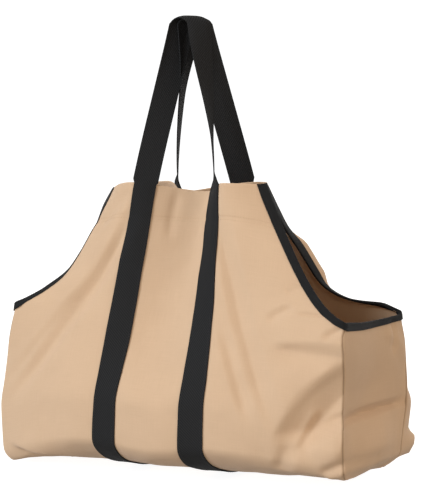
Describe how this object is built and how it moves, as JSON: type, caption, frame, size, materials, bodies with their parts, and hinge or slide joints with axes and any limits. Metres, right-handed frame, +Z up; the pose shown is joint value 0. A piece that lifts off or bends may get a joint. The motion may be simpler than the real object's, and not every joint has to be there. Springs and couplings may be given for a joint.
{
  "type": "firewood bag",
  "caption": "Canvas firewood bag with low end gussets, cut-away sides bound in tape, and long webbing handles sewn down its faces, hanging by the handles' crown.",
  "frame": {"origin": "underside of the handles' crown, where a hook, bar or hand carries the bag", "axes": "+Z up along the line of pull, +X to the bag's right along its length, -Y out of its front face"},
  "size_m": [0.6282, 0.3452, 0.717],
  "materials": {
    "canvas": "plain-woven beige cotton canvas, matt",
    "webbing": "black twill-ribbed webbing, slight sheen",
    "edge_tape": "black folded binding tape, matt"
  },
  "bodies": {
    "root": {"main_canvas": "canvas", "gusset_left": "canvas", "gusset_right": "canvas", "edge_tape_left": "edge_tape", "edge_tape_right": "edge_tape", "handle_front": "webbing", "handle_back": "webbing"}
  },
  "joints": []
}
